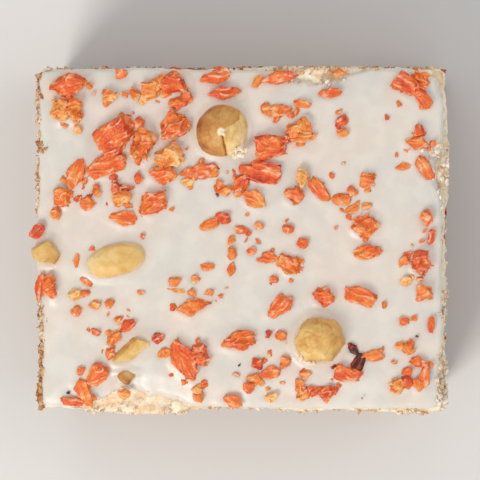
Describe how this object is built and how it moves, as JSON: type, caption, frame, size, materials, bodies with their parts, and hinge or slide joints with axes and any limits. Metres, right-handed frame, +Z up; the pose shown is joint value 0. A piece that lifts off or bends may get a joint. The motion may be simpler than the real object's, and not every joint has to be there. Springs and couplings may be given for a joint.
{
  "type": "carrot cake slice",
  "caption": "Rectangular slice of carrot cake with a cream layer, a white glaze, and carrot bits and hazelnuts on top.",
  "frame": {"origin": "centre of the underside, on the surface the slice lies on", "axes": "+X along the slice's longer side, +Y along its shorter side towards the back, +Z up"},
  "size_m": [0.076, 0.0634, 0.0401],
  "materials": {
    "sponge_crumb": "open, moist brown crumb",
    "cream": "soft cream, torn where it was cut",
    "white_glaze": "satin white glaze",
    "hazelnut": "dry shelled kernel"
  },
  "bodies": {
    "root": {"sponge": "sponge_crumb", "cream_layer": "cream", "glaze": "white_glaze", "hazelnut_back": "hazelnut", "hazelnut_front": "hazelnut", "hazelnut_blanched": "hazelnut", "hazelnut_edge": "hazelnut", "hazelnut_broken": "hazelnut", "hazelnut_chip": "hazelnut"}
  },
  "joints": []
}
